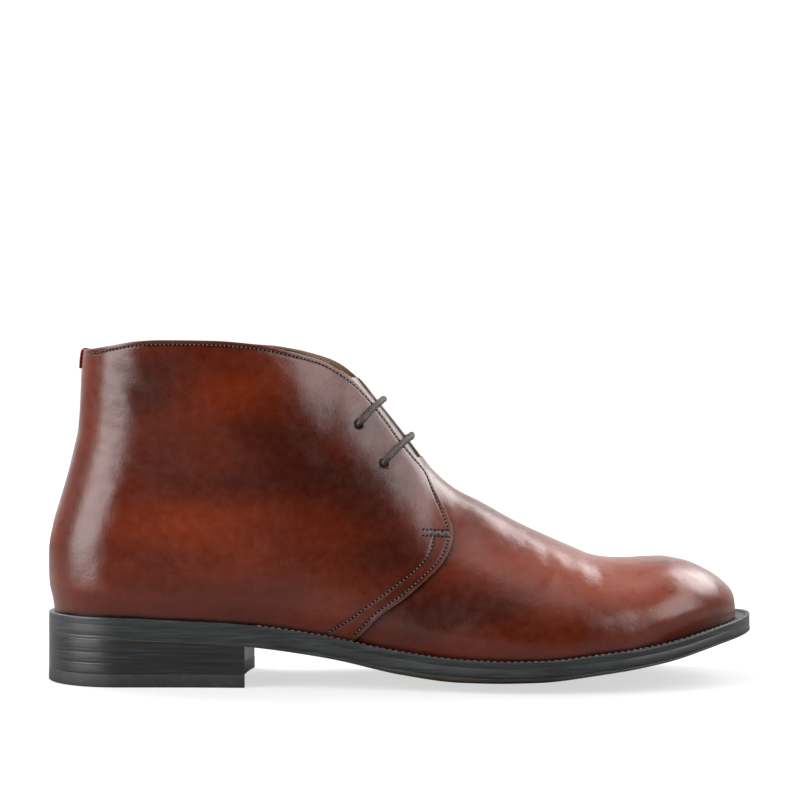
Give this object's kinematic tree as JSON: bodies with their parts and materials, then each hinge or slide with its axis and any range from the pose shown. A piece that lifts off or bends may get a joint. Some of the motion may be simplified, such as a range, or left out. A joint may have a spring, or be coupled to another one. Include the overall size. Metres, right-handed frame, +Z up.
{
  "type": "chukka boot",
  "caption": "Ankle-high leather chukka boot with open lacing over two crossings, smooth vamp, overlaid quarters, stitched ledge round the sole and a stacked block heel",
  "frame": {"origin": "on the floor under the middle of the heel, on the heel's rest face", "axes": "+X from heel to toe, +Z up, -Y towards the outer side of the foot"},
  "size_m": [0.305, 0.1101, 0.146],
  "materials": {
    "upper_leather": "burnished reddish brown, polished",
    "lining_leather": "matte olive tan lining",
    "sole_leather": "edge-dyed near black, satin",
    "heel_rubber": "dark grey-brown, matte",
    "waxed_cord": "dark brown waxed round cord"
  },
  "bodies": {
    "root": {"upper": "upper_leather", "tongue": "upper_leather", "heel_tab": "upper_leather", "insole": "lining_leather", "midsole": "sole_leather", "outsole": "sole_leather", "heel_lift_wedge": "sole_leather", "heel_lift_upper": "sole_leather", "heel_lift_lower": "sole_leather", "top_lift": "heel_rubber", "lace_bar_lower": "waxed_cord", "lace_bar_upper": "waxed_cord"}
  },
  "joints": []
}
